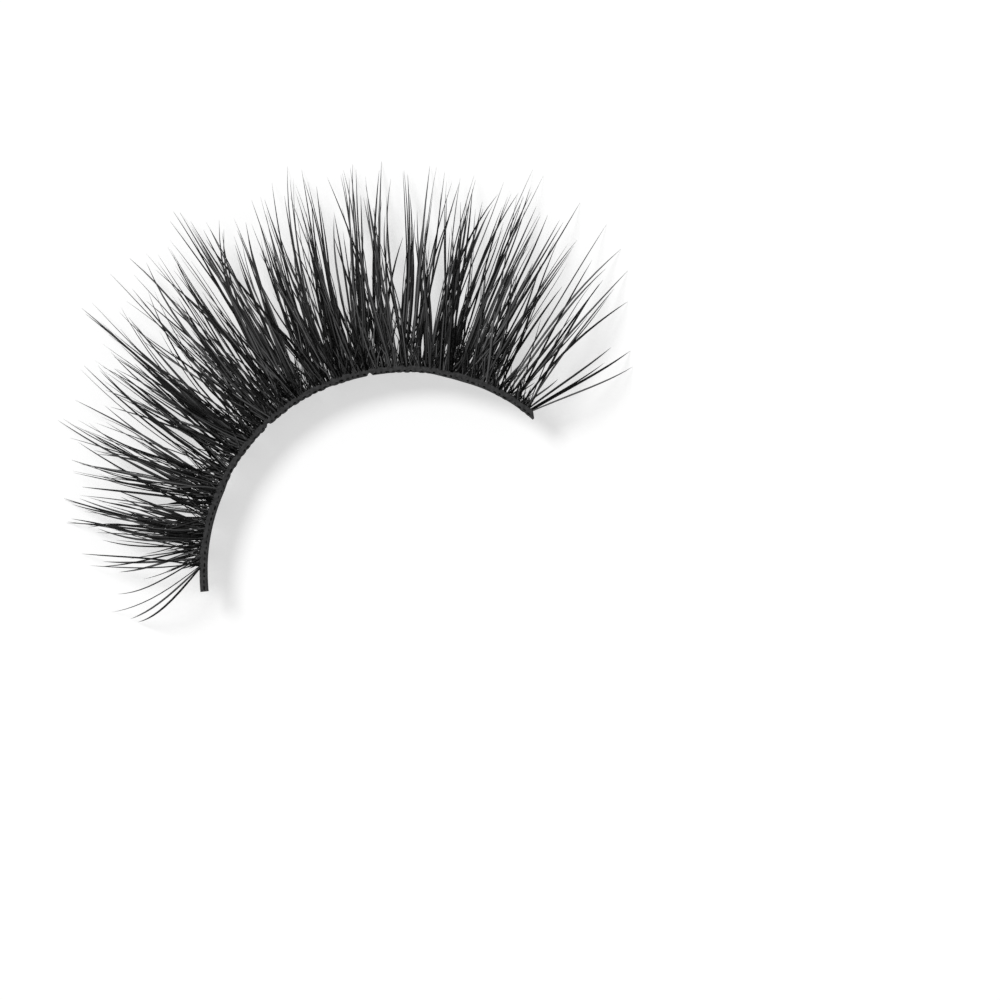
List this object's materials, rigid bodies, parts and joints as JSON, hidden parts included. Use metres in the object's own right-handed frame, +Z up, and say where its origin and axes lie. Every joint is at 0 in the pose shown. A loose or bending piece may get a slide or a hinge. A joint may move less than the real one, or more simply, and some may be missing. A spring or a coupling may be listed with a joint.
{
  "type": "false eyelash strip",
  "caption": "Strip of curled false lashes on a bent thread band, with knots along its inner edge and crossing layers of tapered locks, lying curl down.",
  "frame": {"origin": "centre of the strip's footprint, on the surface that it lies on with its curl down", "axes": "+X along the chord of the bent band, from the inner corner to the outer corner; +Y the way that the lashes point; +Z up from the surface"},
  "size_m": [0.043, 0.0244, 0.0041],
  "materials": {
    "band_thread": "matt coated thread, charcoal",
    "knots": "matt knotted fibre, near black",
    "hair": "soft satin fibre, black"
  },
  "bodies": {
    "root": {"band": "band_thread", "knot_row": "knots", "inner_swept_locks": "hair", "outer_swept_locks": "hair"}
  },
  "joints": []
}
